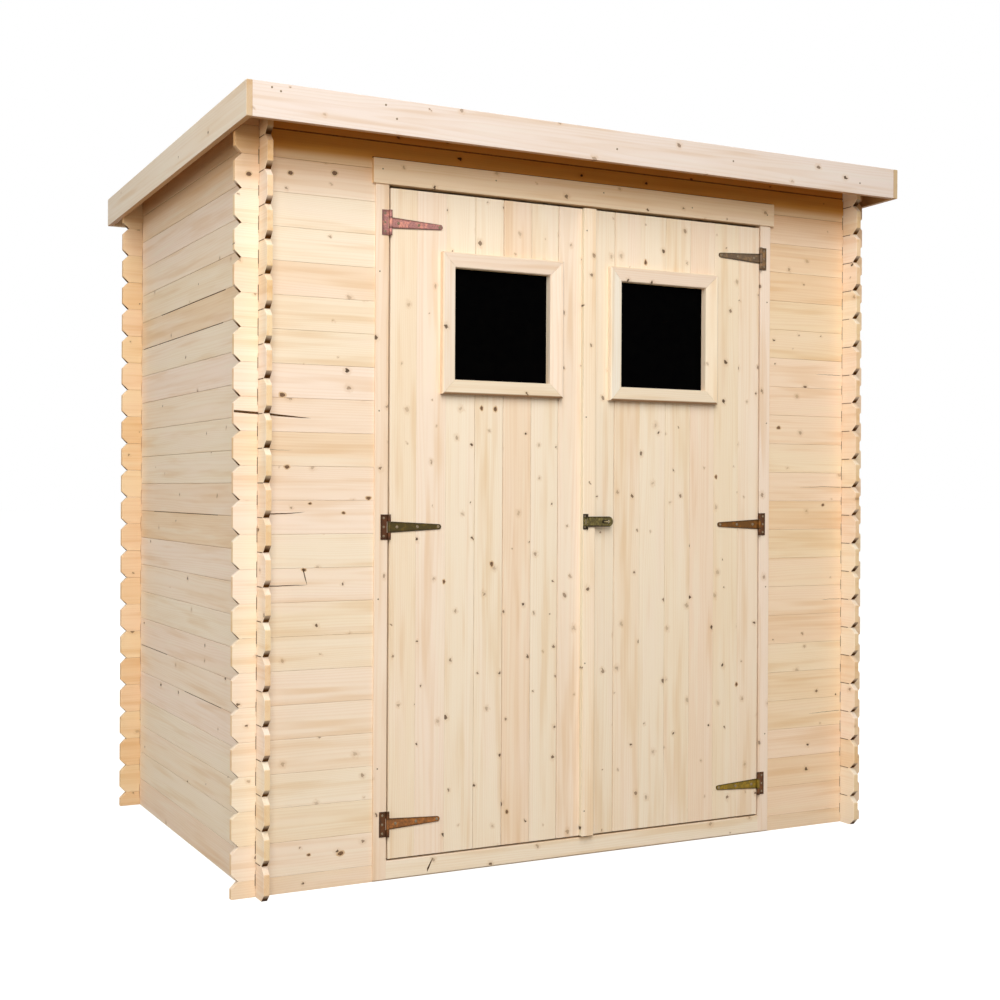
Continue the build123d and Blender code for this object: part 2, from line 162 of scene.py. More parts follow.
# Cracks: start and end in X and height, and the width at the start
SPIKE_KNOT = (-0.4905, 0.014, -0.4730, 0.0470)
LOG_CRACKS = (
    (-1.0352, 1.2377, -0.8280, 1.2252, 0.0060), (-0.9500, 0.9768, -0.8440, 0.9820, 0.0026),
    (-0.9500, 0.7926, -0.8360, 0.7925, 0.0022), (-0.8477, 0.8342, -0.8364, 0.7925, 0.0110),
    (-0.9500, 1.1430, -0.8800, 1.1420, 0.0006),
)
RIGHT_CRACK_X, RIGHT_CRACKS = 0.950, ((3, 0.12), (7, 0.07), (11, 0.16), (15, 0.10))

# Open seams of the left wall: height, start and end along Y, and half the width
LEFT_SEAMS = (
    (1.496, -0.30, 0.56, 0.0009), (1.584, -0.32, 0.34, 0.0012), (0.968, -0.26, 0.42, 0.0006),
    (0.528, 0.26, 0.57, 0.0004), (0.440, -0.30, 0.06, 0.0003),
)

# Nails of the front fascia: place along X and height
FASCIA_NAILS = (
    (-0.9865, 2.029), (-0.9632, 2.022), (-0.6807, 2.024), (-0.6497, 1.992), (0.02, 1.99), (0.42, 2.0),
    (0.90, 1.985),
)

# Light
LIGHT_COLOUR = (1.0, 0.99, 0.985)
KEY_POWER, KEY_SIZE, KEY_DISTANCE = 365.0, (3.0, 5.6), 6.0
KEY_AZIMUTH, KEY_ELEVATION = -24.0, 36.0
FILL_POWER, FILL_SIZE, FILL_DISTANCE = 88.0, (4.0, 4.0), 6.0
FILL_AZIMUTH, FILL_ELEVATION = -82.0, 8.0
BACK_POWER, BACK_SIZE, BACK_DISTANCE = 250.0, (4.0, 4.0), 6.0
BACK_AZIMUTH, BACK_ELEVATION = 143.0, 30.0
LIGHT_AIM = (-0.1, -0.6, 1.1)
SKY_STRENGTH = 0.31
FLOOR_COLOUR = (0.30, 0.27, 0.23)
FLOOR_GLOW = 0.93

# Camera, in pixels of the picture, degrees and metres, and its sensor in millimetres
FOCAL, CENTRE_X, CENTRE_Y, PICTURE = 1421.8, 461.0, 490.3, 1000.0
CAMERA_YAW, CAMERA_ROLL, SENSOR = 26.774, 0.299, 36.0
CAMERA_PLACE = (-2.1417, -4.0704, 1.0401)


class Shader:
    """Short way to lay out the nodes of one material, or of the world."""

    def __init__(self, name, world=None):
        self.material = world or bpy.data.materials.new(name)
        self.material.use_nodes = True
        self.tree = self.material.node_tree
        self.tree.nodes.clear()

    def add(self, kind, **settings):
        node = self.tree.nodes.new(kind)
        for key, value in settings.items():
            setattr(node, key, value)
        return node

    def feed(self, socket, value):
        if isinstance(value, bpy.types.NodeSocket):
            self.tree.links.new(value, socket)
        elif isinstance(value, tuple) and socket.type == "RGBA":
            socket.default_value = (*value[:3], 1.0)
        else:
            socket.default_value = value

    def math(self, operation, *values):
        node = self.add("ShaderNodeMath", operation=operation)
        for socket, value in zip(node.inputs, values):
            self.feed(socket, value)
        return node.outputs[0]

    def span(self, value, low, high, to_low=0.0, to_high=1.0, kind="SMOOTHSTEP"):
        node = self.add("ShaderNodeMapRange", interpolation_type=kind, clamp=True)
        for socket, item in zip(node.inputs[:5], (value, low, high, to_low, to_high)):
            self.feed(socket, item)
        return node.outputs[0]

    def vector(self, x, y, z):
        node = self.add("ShaderNodeCombineXYZ")
        for socket, value in zip(node.inputs, (x, y, z)):
            self.feed(socket, value)
        return node.outputs[0]

    def noise(self, vector, scale, detail=2.0, roughness=0.5):
        node = self.add("ShaderNodeTexNoise")
        self.feed(node.inputs["Vector"], vector)
        node.inputs["Scale"].default_value = scale
        node.inputs["Detail"].default_value = detail
        node.inputs["Roughness"].default_value = roughness
        return node.outputs[0]

    def blend(self, factor, first, second, kind="MIX"):
        node = self.add("ShaderNodeMix", data_type="RGBA", blend_type=kind)
        self.feed(node.inputs[0], factor)
        self.feed(node.inputs[6], first)
        self.feed(node.inputs[7], second)
        return node.outputs[2]

    def ramp(self, factor, stops):
        node = self.add("ShaderNodeValToRGB")
        points = node.color_ramp.elements
        while len(points) < len(stops):
            points.new(0.5)
        for point, (place, colour) in zip(points, stops):
            point.position = place
            point.color = (*colour, 1.0)
        self.feed(node.inputs[0], factor)
        return node.outputs[0]

    def bump(self, height, strength, distance):
        node = self.add("ShaderNodeBump")
        node.inputs["Strength"].default_value = strength
        node.inputs["Distance"].default_value = distance
        self.feed(node.inputs["Height"], height)
        return node.outputs[0]

    def surface(self, **inputs):
        node = self.add("ShaderNodeBsdfPrincipled")
        for key, value in inputs.items():
            self.feed(node.inputs[key.replace("_", " ")], value)
        out = self.add("ShaderNodeOutputMaterial")
        self.tree.links.new(node.outputs[0], out.inputs[0])
        return self.material


def spruce(name, axes, face, pitch=None, offset=0.0, seed=0, tone=(1.0, 1.0, 1.0), knots=1.0,
           eave=0.0, lips=0.0, eave_from=1.79, ends=END_GRAIN, under=None, shine=0.28, deep=0.0,
           tips=None, facets=()):
    """Planed spruce whose grain runs along the first of three axes, a board to each pitch of the second.

    knots, eave, lips and deep are strengths: of small knots, of the painted shade under the roof, of the
    dirt in the joints with painted shade on the logs' downward chamfers, and of the deeper painted shade
    right under the eave. under is the height of a lower edge with a painted shade line, tips the place of
    the log ends along the grain, where their lower chamfers get painted shade, and facets tint with painted
    light or shade the faces that look along an axis.
    """
    s = Shader(name)
    place = s.add("ShaderNodeTexCoord")
    split = s.add("ShaderNodeSeparateXYZ")
    s.feed(split.inputs[0], place.outputs["Object"])
    along, across, depth = (split.outputs["XYZ".index(axis)] for axis in axes)
    turned = s.add("ShaderNodeSeparateXYZ")
    s.feed(turned.inputs[0], place.outputs["Normal"])
    cut_end = s.math("ABSOLUTE", turned.outputs["XYZ".index(axes[0])])
    cut_end = s.span(cut_end, 0.75, 0.95)
    # Chamfers of the joints; on the logs only those that face down, which get dirt with painted shade
    lip = turned.outputs["XYZ".index(axes[1])]
    lip = s.math("MULTIPLY", lip, -1.0) if axes[1] == "Z" else s.math("ABSOLUTE", lip)
    lip = s.math("MULTIPLY", s.span(lip, 0.30, 0.62), s.span(lip, 0.98, 0.90))
    patchy = s.noise(place.outputs["Object"], 17.0, 4.0, 0.65)
    notch = lip
    lip = s.math("MULTIPLY", lip, s.span(patchy, 0.36, 0.62, 0.50, 1.0))

    # Each board is cut from its own part of the tree
    from_first = s.math("SUBTRACT", across, offset)
    if pitch:
        board = s.math("FLOOR", s.math("DIVIDE", from_first, pitch))
        local = s.math("SUBTRACT", from_first, s.math("MULTIPLY", s.math("ADD", board, 0.5), pitch))
    else:
        board = s.math("MULTIPLY", from_first, 0.0)
        local = from_first
    chance = s.add("ShaderNodeTexWhiteNoise", noise_dimensions="1D")
    s.feed(chance.inputs["W"], s.math("ADD", board, seed * 17.31 + 0.37))
    luck = s.add("ShaderNodeSeparateColor")
    s.feed(luck.inputs[0], chance.outputs["Color"])
    one, two, three = luck.outputs
    four = chance.outputs["Value"]
    shifted = s.math("ADD", along, s.math("MULTIPLY", one, 41.0))

    # Knots, each board with its own
    beside = s.math("ADD", local, s.math("MULTIPLY", four, 57.0))
    cells = s.add("ShaderNodeTexVoronoi", voronoi_dimensions="2D", feature="F1")
    ragged = s.noise(s.vector(shifted, local, depth), 110.0, 2.0)
    pulled = s.math("MULTIPLY", s.math("SUBTRACT", ragged, 0.5), 0.013)
    lengthwise = s.math("ADD", s.math("MULTIPLY", shifted, 0.85), pulled)
    s.feed(cells.inputs["Vector"], s.vector(lengthwise, s.math("SUBTRACT", beside, pulled), 0.0))
    cells.inputs["Scale"].default_value = KNOT_SCALE
    cells.inputs["Randomness"].default_value = 0.9
    kind = s.add("ShaderNodeSeparateColor")
    s.feed(kind.inputs[0], cells.outputs["Color"])
    far = s.math("DIVIDE", cells.outputs["Distance"], KNOT_SCALE)
    present = s.math("GREATER_THAN", kind.outputs[0], 1.0 - KNOT_CHANCE * knots)
    size = s.span(kind.outputs[2], 0.0, 1.0, KNOT_SMALL, KNOT_LARGE, "LINEAR")
    knot_core = s.span(far, s.math("MULTIPLY", size, 0.85), s.math("ADD", size, 0.0001), 1.0, 0.0)
    knot_core = s.math("MULTIPLY", knot_core, present)
    halo = s.math("MULTIPLY", s.span(far, size, s.math("MULTIPLY", size, 3.0), 1.0, 0.0), present)

    # Year rings around a pith that wanders
    bent = s.vector(s.math("MULTIPLY", shifted, 1.5), s.math("MULTIPLY", local, 9.0), depth)
    wander = s.noise(bent, 1.0, 2.0)
    aside = s.math("SUBTRACT", local, s.math("MULTIPLY", s.math("SUBTRACT", one, 0.5), 0.10))
    aside = s.math("ADD", aside, s.math("MULTIPLY", s.math("SUBTRACT", wander, 0.5), 0.034))
    aside = s.math("ADD", aside, s.math("MULTIPLY", halo, 0.006))
    pith_depth = s.math("ADD", s.math("MULTIPLY", two, 0.05), 0.018)
    inward = s.math("ADD", s.math("SUBTRACT", depth, face), pith_depth)
    reach = s.math("SQRT", s.math("ADD", s.math("POWER", aside, 2.0), s.math("POWER", inward, 2.0)))
    slant = s.math("MULTIPLY", s.math("SUBTRACT", three, 0.5), 0.016)
    reach = s.math("ADD", reach, s.math("MULTIPLY", along, slant))
    ring = s.math("ADD", s.math("DIVIDE", reach, RING_WIDTH), s.math("MULTIPLY", four, 9.0))
    ring = s.math("FRACT", ring)
    late = s.math("SUBTRACT", s.span(ring, 0.35, 0.90), s.span(ring, 0.92, 1.0))

    # Streaks, fibres and broad patches
    stretched = s.vector(s.math("MULTIPLY", shifted, 0.02), local, depth)
    streak = s.noise(stretched, 75.0, 3.0, 0.6)
    band = s.noise(s.vector(s.math("MULTIPLY", shifted, 0.07), local, depth), 34.0, 2.0)
    fibre = s.noise(stretched, 900.0, 2.0, 0.6)
    patch = s.noise(s.vector(s.math("MULTIPLY", shifted, 0.16), local, depth), 13.0, 2.0)

    colour = s.ramp(two, ((0.0, PALE), (0.35, CREAM), (0.7, PINK), (1.0, GOLD)))
    colour = s.blend(s.span(patch, 0.50, 0.74, 0.0, 0.45), colour, PINK)
    colour = s.blend(s.span(patch, 0.50, 0.28, 0.0, 0.22), colour, GOLD)
    darker = s.blend(1.0, colour, LATE_WOOD, "MULTIPLY")
    colour = s.blend(s.math("MULTIPLY", late, 0.20), colour, darker)
    colour = s.blend(s.span(streak, 0.52, 0.80, 0.0, 0.30), colour, darker)
    colour = s.blend(s.span(band, 0.50, 0.72, 0.0, 0.50), colour, darker)
    colour = s.blend(s.span(band, 0.46, 0.28, 0.0, 0.50), colour, PALE)
    colour = s.blend(s.span(fibre, 0.45, 0.75, 0.0, 0.10), colour, GOLD)
    colour = s.blend(1.0, colour, tone, "MULTIPLY")
    colour = s.blend(s.math("MULTIPLY", halo, 0.30), colour, KNOT_HALO)
    strength = s.math("MULTIPLY", knot_core, s.span(kind.outputs[1], 0.15, 0.8, 0.95, 0.32, "LINEAR"))
    colour = s.blend(strength, colour, s.blend(kind.outputs[1], KNOT_DARK, KNOT_RED))
    colour = s.blend(cut_end, colour, s.blend(1.0, colour, ends, "MULTIPLY"))
    # Dirt in the joints, with painted shade on the logs' downward chamfers
    dirt_and_shade = s.math("MULTIPLY", lip, s.span(three, 0.0, 1.0, 0.35 * lips, lips, "LINEAR"))
    colour = s.blend(dirt_and_shade, colour, s.blend(1.0, colour, GRIME_AND_SHADE, "MULTIPLY"))
    # Painted shade under the roof: brown that deepens towards the roof line
    if eave:
        roof_shade = s.span(split.outputs[2], eave_from, eave_from + EAVE_SHADE_FADE, 0.0, eave)
        colour = s.blend(roof_shade, colour, s.blend(1.0, colour, EAVE_SHADE_BROWN, "MULTIPLY"))
    gloss = shine
    # Painted shade on the lower chamfers of the log ends near their tips, where the notches are, with less
    # sheen
    if tips:
        from_tip = s.math("SUBTRACT", tips, s.math("ABSOLUTE", along))
        in_cut = s.math("LESS_THAN", from_tip, LOG_END_CUT + 0.001)
        notch_shade = s.math("MULTIPLY", s.span(from_tip, 0.0, 0.013), in_cut)
        notch_shade = s.math("MULTIPLY", notch_shade, notch)
        colour = s.blend(notch_shade, colour, s.blend(1.0, colour, NOTCH_SHADE, "MULTIPLY"))
        gloss = s.span(notch_shade, 0.0, 0.8, shine, 0.02)
    # Painted deep shade right under the eave, clear of the corners, with less sheen there
    if deep:
        shaded = s.span(s.math("ABSOLUTE", split.outputs[0]), WALL_X, WALL_X - 0.02)
        shaded = s.math("MULTIPLY", shaded, s.span(split.outputs[2], DEEP_SHADE_FROM, DEEP_SHADE_FULL, 0.0, deep))
        colour = s.blend(shaded, colour, s.blend(1.0, colour, HEADER_SHADE_BROWN, "MULTIPLY"))
        gloss = s.math("MULTIPLY", gloss, s.span(shaded, 0.0, 0.8, 1.0, 0.1))
    # Painted shade line along the lower edge
    if under:
        shade = s.span(split.outputs[2], under + 0.0040, under + 0.0070, 0.95, 0.0)
        colour = s.blend(shade, colour, s.blend(1.0, colour, GRIME_AND_SHADE, "MULTIPLY"))
    # Painted light or shade on faces that look along an axis
    for axis, start, full, tint in facets:
        facing = s.span(turned.outputs["XYZ".index(axis)], start, full)
        colour = s.blend(facing, colour, s.blend(1.0, colour, tint, "MULTIPLY"))

    height = s.math("ADD", s.math("MULTIPLY", late, 0.35), s.math("MULTIPLY", fibre, 0.45))
    height = s.math("SUBTRACT", height, s.math("MULTIPLY", knot_core, 0.6))
    return s.surface(
        Base_Color=colour,
        Roughness=s.span(streak, 0.2, 0.8, 0.52, 0.68),
        Specular_IOR_Level=gloss,
        Normal=s.bump(height, 0.35, 0.0005),
    )


def rim_of(s, shape, x, z):
    """Share of the way from the middle of a fitting to its rim, as a shader value."""
    if shape == "hasp":
        return s.math("DIVIDE", s.math("ABSOLUTE", s.math("SUBTRACT", z, HASP_Z)), HASP_HALF)
    beside = [s.math("ABSOLUTE", s.math("SUBTRACT", z, height)) for height in HINGE_HEIGHTS]
    beside = s.math("MINIMUM", s.math("MINIMUM", beside[0], beside[1]), beside[2])
    along = s.math("SUBTRACT", HINGE_X, s.math("ABSOLUTE", s.math("SUBTRACT", x, DOOR_X)))
    if shape == "plate":
        across = s.math("DIVIDE", along, -PLATE_REACH)
        return s.math("MAXIMUM", s.math("DIVIDE", beside, PLATE_HALF), across)
    half = s.math("SUBTRACT", STRAP_HALF, s.math("MULTIPLY", along, STRAP_TAPER))
    tip = s.span(along, STRAP_LENGTH - 0.008, STRAP_LENGTH)
    return s.math("MAXIMUM", s.math("DIVIDE", beside, half), tip)


def zinc(name, shape, tints, shadow_depth=None):
    """Yellow-passivated steel that has dulled and rusted, with a tint for each hinge from the lowest up.

    Metal deeper than a given depth gets a painted shadow, as the staple's foot does under the hasp.
    """
    s = Shader(name)
    where = s.add("ShaderNodeTexCoord").outputs["Object"]
    split = s.add("ShaderNodeSeparateXYZ")
    s.feed(split.inputs[0], where)
    x, y, z = split.outputs
    mottle = s.noise(where, MOTTLE_SCALE[shape], 3.0, 0.6)
    pits = s.noise(where, 330.0, 3.0, 0.65)
    low, middle, high = tints
    colour = s.ramp(s.math("DIVIDE", z, 2.0), ((0.20, low), (0.34, middle), (0.60, middle), (0.74, high)))
    bright = s.blend(1.0, colour, MOTTLE_GOLD[shape], "MULTIPLY")
    colour = s.blend(s.span(mottle, 0.48, 0.66, 0.0, 0.8), colour, bright)
    rust = s.span(pits, 0.52, 0.66)
    colour = s.blend(s.math("MULTIPLY", rust, 0.6), colour, RUST)
    # Painted shade darkening towards the rim of each fitting
    rim = s.span(rim_of(s, shape, x, z), 0.55, 1.0, 0.0, RIM_SHADE_STRENGTH[shape])
    colour = s.blend(rim, colour, RIM_SHADE)
    # Painted shadow on metal deeper than the given depth
    if shadow_depth is not None:
        colour = s.blend(s.span(y, shadow_depth - 0.003, shadow_depth + 0.001, 0.0, 0.92), colour, RIM_SHADE)
    return s.surface(
        Base_Color=colour,
        Metallic=s.span(rust, 0.0, 1.0, 0.45, 0.10),
        Roughness=s.span(mottle, 0.3, 0.7, 0.38, 0.60),
        Specular_IOR_Level=0.3,
        Normal=s.bump(pits, 0.4, 0.0004),
    )


def steel(name):
    """Dull screw and nail heads."""
    s = Shader(name)
    where = s.add("ShaderNodeTexCoord").outputs["Object"]
    grain = s.noise(where, 700.0, 3.0)
    colour = s.ramp(grain, ((0.3, STEEL_DARK), (0.7, STEEL_PALE)))
    return s.surface(Base_Color=colour, Metallic=0.4, Roughness=s.span(grain, 0.3, 0.7, 0.35, 0.6))


def felt_sheet(name):
    """Bitumen roof felt with mineral grit."""
    s = Shader(name)
    where = s.add("ShaderNodeTexCoord").outputs["Object"]
    grit = s.add("ShaderNodeTexVoronoi", feature="F1")
    s.feed(grit.inputs["Vector"], where)
    grit.inputs["Scale"].default_value = 420.0
    grey = s.add("ShaderNodeSeparateColor")
    s.feed(grey.inputs[0], grit.outputs["Color"])
    wear = s.noise(where, 5.0, 4.0)
    colour = s.ramp(grey.outputs[0], ((0.0, FELT_DARK), (0.8, FELT_GREY), (1.0, FELT_PALE)))
    colour = s.blend(s.span(wear, 0.45, 0.7, 0.0, 0.4), colour, FELT_WORN)
    height = s.math("SUBTRACT", 1.0, grit.outputs["Distance"])
    return s.surface(Base_Color=colour, Roughness=0.92, Normal=s.bump(height, 0.6, 0.0008))


def shade_black_glass(name):
    """Opaque near-black glass, painted shade standing in for the unlit inside, with faint dust."""
    s = Shader(name)
    where = s.add("ShaderNodeTexCoord").outputs["Object"]
    dust = s.noise(where, 30.0, 4.0, 0.6)
    # Near-black painted shade for the inside, with paler dust
    colour = s.ramp(dust, ((0.35, GLASS_INSIDE_SHADE), (0.75, GLASS_DUST)))
    rough = s.span(dust, 0.4, 0.8, 0.05, 0.12)
    return s.surface(Base_Color=colour, Roughness=rough, Specular_IOR_Level=0.004)


def shadow_line(name, dark, light):
    """Dark inside of a split or open joint in the wood, and a painted shadow line."""
    s = Shader(name)
    where = s.add("ShaderNodeTexCoord").outputs["Object"]
    grain = s.noise(where, 160.0, 3.0)
    colour = s.ramp(grain, ((0.3, dark), (0.75, light)))
    return s.surface(Base_Color=colour, Roughness=0.85, Specular_IOR_Level=0.05)


class Solid:
    """Points and faces of one piece while it is built."""

    def __init__(self):
        self.points = []
        self.faces = []
        self.kinds = []

    def add(self, points, faces, kind=0):
        first = len(self.points)
        self.points += [tuple(point) for point in points]
        self.faces += [tuple(first + index for index in face) for face in faces]
        self.kinds += [kind] * len(faces)

    def prism(self, outline, place, start, end, kind=0):
        """Outline of pairs swept from start to end, where place(a, b, t) gives a point."""
        count = len(outline)
        points = [place(a, b, start) for a, b in outline] + [place(a, b, end) for a, b in outline]
        faces = [tuple(range(count)), tuple(range(2 * count - 1, count - 1, -1))]
        for index in range(count):
            after = (index + 1) % count
            faces.append((index, index + count, after + count, after))
        self.add(points, faces, kind)

    def block(self, low, high, kind=0):
        outline = [(low[0], low[1]), (high[0], low[1]), (high[0], high[1]), (low[0], high[1])]
        self.prism(outline, lambda a, b, t: (a, b, t), low[2], high[2], kind)

    def piece(self, name, body, slot, materials, replaced=()):
        mesh = bpy.data.meshes.new(name)
        mesh.from_pydata(self.points, [], self.faces)
        for material in materials:
            mesh.materials.append(material)
        mesh.polygons.foreach_set("material_index", self.kinds)
        tidy_faces(mesh)
        thing = bpy.data.objects.new(name, mesh)
        bpy.context.scene.collection.objects.link(thing)
        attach(thing, body)
        if replaced:
            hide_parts(*replaced)
        return thing


def tidy_faces(mesh):
    """Turns every face of a closed mesh outward."""
    work = bmesh.new()
    work.from_mesh(mesh)
    bmesh.ops.recalc_face_normals(work, faces=work.faces)
    work.to_mesh(mesh)
    work.free()
    mesh.update()


def board_outline(start, end, front, back, left, right):
    """Section of a board with its long edges taken off."""
    return [
        (start + left, front), (end - right, front), (end, front + right), (end, back - right),
        (end - right, back), (start + left, back), (start, back - left), (start, front + left),
    ]


def finish_node(name, material, rounding=EDGE_ROUND):
    """Gives a piece of the frame its finish and eases its edges."""
    thing = nodes[name]
    for place in thing.material_slots:
        place.link = "OBJECT"
        place.material = material
    if rounding:
        weld = thing.modifiers.new("joined", "WELD")
        weld.merge_threshold = 0.00001
        bevel = thing.modifiers.new("eased", "BEVEL")
        bevel.width = rounding
        bevel.segments = 2
        bevel.limit_method = "ANGLE"
        bevel.angle_limit = math.radians(35.0)


def finish_walls():
    """Log walls, each wall with its own boards, with painted shade under the roof on the front and left
    walls, painted shade on the lower chamfers at the log ends, and a darker back wall tone that is painted
    shade.
    """
    front = spruce(
        "front_logs", "XZY", FRONT, BOARD, BOARD / 2, 3,
        knots=0.7, eave=0.9, lips=0.62, deep=1.0, tips=LOG_TIP_X)
    for name in ("front_wall_left", "front_sill_log"):
        finish_node(name, front, FRONT_ROUND)
    warm = spruce(
        "front_right_logs", "XZY", FRONT, BOARD, BOARD / 2, 4, WARM_TONE,
        knots=0.7, eave=0.9, lips=0.42, deep=1.0, tips=LOG_TIP_X)
    finish_node("front_wall_right", warm, FRONT_ROUND)
    shaded = spruce(
        "header_logs", "XZY", FRONT, HEADER_LOG, HEADER_LOW, 7, knots=0.8, eave=1.0, lips=0.8, deep=1.0)
    finish_node("front_wall_header", shaded)
    # The back wall's darker, warmer tone is painted shade
    back = spruce(
        "back_logs", "XZY", WALL_Y - LOG, BOARD, BOARD / 2, 9, BACK_SHADE_TONE,
        knots=0.8, lips=0.8, tips=LOG_TIP_X)
    finish_node("back_wall", back)
    left = spruce(
        "left_logs", "YZX", -WALL_X, BOARD, 0.0, 5,
        knots=0.25, eave=1.0, lips=0.9, eave_from=1.84, tips=LOG_TIP_Y)
    finish_node("left_wall", left)
    right = spruce("right_logs", "YZX", WALL_X - LOG, BOARD, 0.0, 12, knots=0.6, lips=0.8, tips=LOG_TIP_Y)
    finish_node("right_wall", right)


def add_tongues():
    """Tongues inside the log joints."""
    wood = spruce("log_tongues", "XZY", FRONT, BOARD, BOARD / 2, seed=21)
    half, tall = 0.0025, 0.006
    reach_x, reach_y = WALL_X - 0.02, WALL_Y - 0.02
    front, back = -WALL_Y + LOG / 2, WALL_Y - LOG / 2
    solid = Solid()

    def level_tongue(start, end, y, z):
        solid.block((start, y - half, z - tall), (end, y + half, z + tall))

    for k in range(1, COURSES):
        z = BOARD * k
        for side in (-1, 1):
            x = side * (WALL_X - LOG / 2)
            solid.block((x - half, -reach_y, z - tall), (x + half, reach_y, z + tall))
    for k in range(COURSES):
        z = BOARD * k + BOARD / 2
        level_tongue(-reach_x, reach_x, back, z)
        level_tongue(-reach_x, DOOR_X - JAMB_MIDDLE, front, z)
        level_tongue(DOOR_X + JAMB_MIDDLE, reach_x, front, z)
    level_tongue(-reach_x, reach_x, front, PLATE_LOW)
    solid.piece("log_tongues", "shed", "log_board", [wood])


def finish_trim():
    """Fascias, jambs, head, threshold and meeting strip."""
    # Painted shade on the faces of the fascias that look down
    below = ("Z", -0.5, -0.9, FASCIA_UNDER_SHADE)
    wood = spruce(
        "front_fascia_wood", "XZY", FASCIA_FRONT, None, 1.99, 31, COOL_TONE, knots=0.5, facets=(below,))
    finish_node("front_fascia", wood)
    finish_node("back_fascia", spruce("back_fascia_wood", "XZY", FASCIA_BACK, None, 1.97, 32))
    sides = (("left_fascia", FASCIA_LEFT, 33, 1), ("right_fascia", FASCIA_RIGHT, 34, -1))
    for name, face, seed, inward in sides:
        # Painted shade on the inner faces of the side fascias
        inner_shade = ("X", 0.5 * inward, 0.9 * inward, SOFFIT_SHADE)
        wood = spruce(
            name + "_wood", "YZX", face, None, 1.98, seed, FASCIA_TONE,
            knots=0.4, ends=FASCIA_END, facets=(below, inner_shade))
        finish_node(name, wood)
    for name, x, seed in (("left_jamb", DOOR_X - 0.638, 35), ("right_jamb", DOOR_X + 0.638, 36)):
        finish_node(name, spruce(name + "_wood", "ZXY", LEAF_FRONT, None, x, seed))
    # The door head also gets painted shade under the roof
    finish_node("door_head", spruce("head_wood", "XZY", HEAD_FRONT, None, HEAD_MIDDLE, 37, eave=0.7))
    finish_node("threshold", spruce("threshold_wood", "XZY", LEAF_FRONT, None, 0.03, 38))
    # Painted shade on the face of the strip that looks left
    beside = ("X", -0.5, -0.9, STRIP_SIDE_SHADE)
    wood = spruce("strip_wood", "ZXY", STRIP_FRONT, None, DOOR_X, 39, STRIP_TONE, facets=(beside,))
    finish_node("meeting_strip", wood)


def add_leaf(side):
    """Boards of one door leaf, cut around its window."""
    name = "left" if side < 0 else "right"
    first = DOOR_X + side * FIRST_JOINT
    wood = spruce(name + "_leaf_wood", "ZXY", LEAF_FRONT, LEAF_BOARD, first, 41 + side, lips=LEAF_LIPS)
    solid = Solid()
    joints = [FIRST_JOINT + LEAF_BOARD * k for k in range(6)]
    edges = [LEAF_MEET] + joints + [LEAF_EDGE]
    hole = (WINDOW_X[side] - SIGHT_W / 2, WINDOW_X[side] + SIGHT_W / 2)
    under, over = WINDOW_Z - SIGHT_H / 2, WINDOW_Z + SIGHT_H / 2

    def place(a, b, t):
        return (DOOR_X + side * a, b, t)

    middle, wide, thick = (LEAF_FRONT + LEAF_BACK) / 2, 0.004, 0.002
    for x in joints:
        tongue = [
            (x - wide, middle - thick), (x + wide, middle - thick),
            (x + wide, middle + thick), (x - wide, middle + thick),
        ]
        for bottom, top in ((LEAF_LOW + 0.002, under - 0.002), (over + 0.002, LEAF_HIGH - 0.002)):
            solid.prism(tongue, place, bottom, top)
        if not hole[0] - 0.01 < x < hole[1] + 0.01:
            solid.prism(tongue, place, under - 0.003, over + 0.003)
    grooves = (LEAF_EDGE_V, *LEAF_V[side], LEAF_EDGE_V)
    for start, end, near, away in zip(edges, edges[1:], grooves, grooves[1:]):
        start += near * LEAF_GAP_SHARE if start > LEAF_MEET else 0.0
        end -= away * LEAF_GAP_SHARE if end < LEAF_EDGE else 0.0
        whole = board_outline(start, end, LEAF_FRONT, LEAF_BACK, near, away)
        if end <= hole[0] or start >= hole[1]:
            solid.prism(whole, place, LEAF_LOW, LEAF_HIGH)
            continue
        solid.prism(whole, place, LEAF_LOW, under)
        solid.prism(whole, place, over, LEAF_HIGH)
        if start < hole[0]:
            part = board_outline(start, hole[0], LEAF_FRONT, LEAF_BACK, near, SHARP)
            solid.prism(part, place, under, over)
        if end > hole[1]:
            part = board_outline(hole[1], end, LEAF_FRONT, LEAF_BACK, SHARP, away)
            solid.prism(part, place, under, over)
    solid.piece(name + "_leaf_boards", name + "_door", "door_board", [wood], [name + "_door_leaf"])


